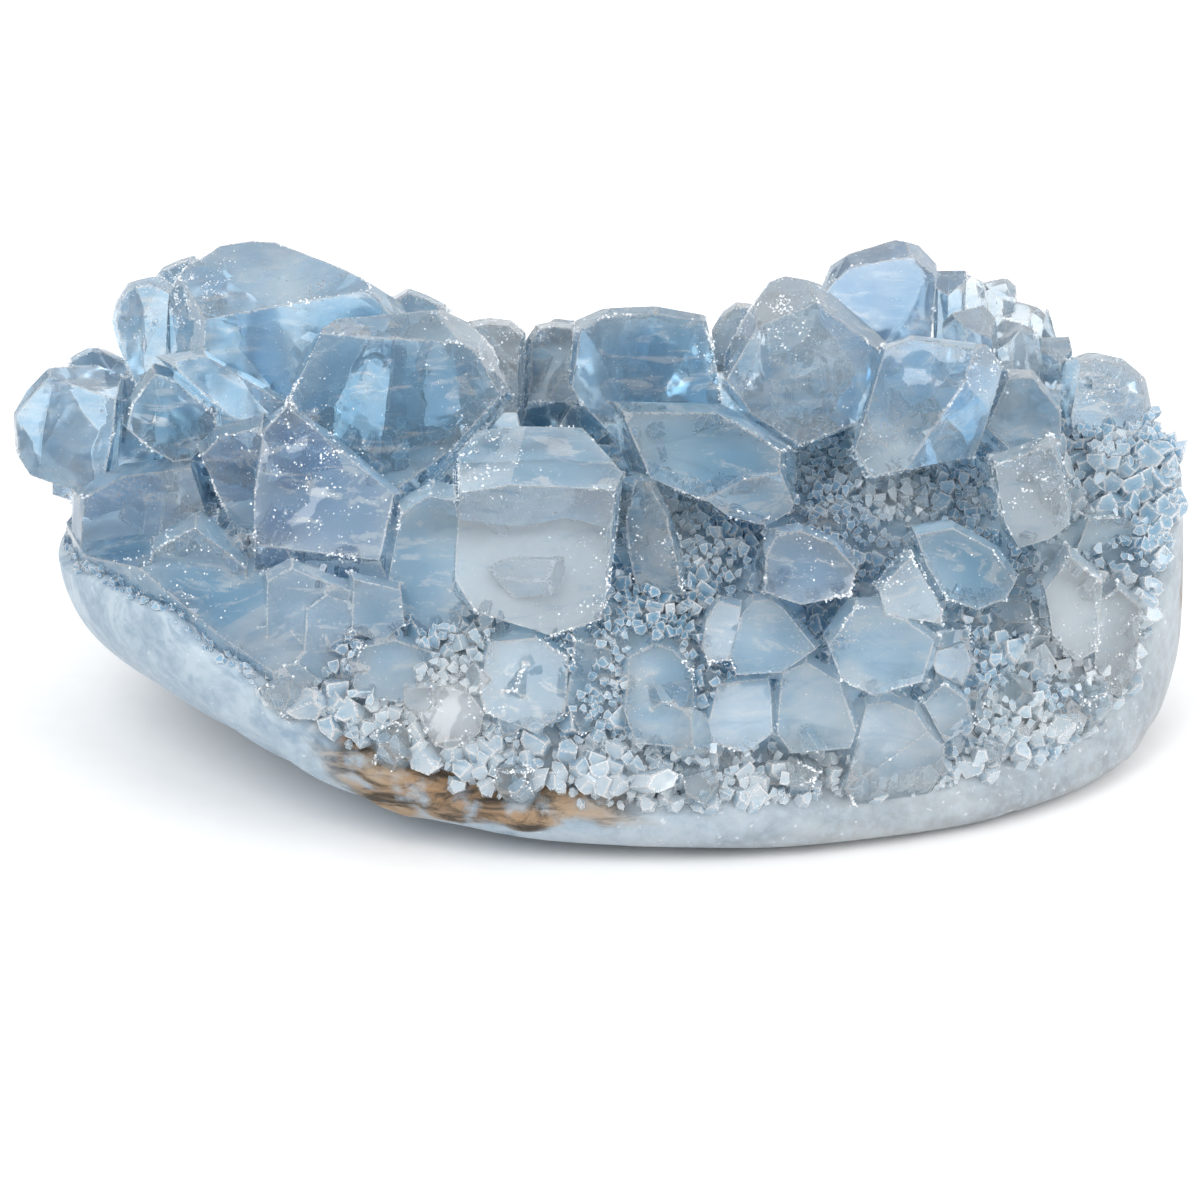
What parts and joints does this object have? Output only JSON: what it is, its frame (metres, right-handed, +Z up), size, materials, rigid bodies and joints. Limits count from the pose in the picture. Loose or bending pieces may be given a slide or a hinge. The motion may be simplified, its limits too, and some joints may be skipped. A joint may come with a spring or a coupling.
{
  "type": "celestite crystal cluster",
  "caption": "Piece of geode wall with a ground pale rind and a flat foot, carrying blocky clear blue celestite crystals grown together, for display on a flat surface.",
  "frame": {"origin": "on the surface it rests on, under the middle of the whole piece", "axes": "+Z up from the ground foot, +X along the longest extent to the right of someone facing the low front, -Y to the low front"},
  "size_m": [0.116, 0.0734, 0.0479],
  "materials": {
    "rind": "ground smooth, massive pale celestite, faintly translucent, with a brown patch of host rock",
    "crystals": "clear to milky blue crystal with glassy faces and frosted patches"
  },
  "bodies": {
    "root": {"rind": "rind", "crystals": "crystals"}
  },
  "joints": []
}
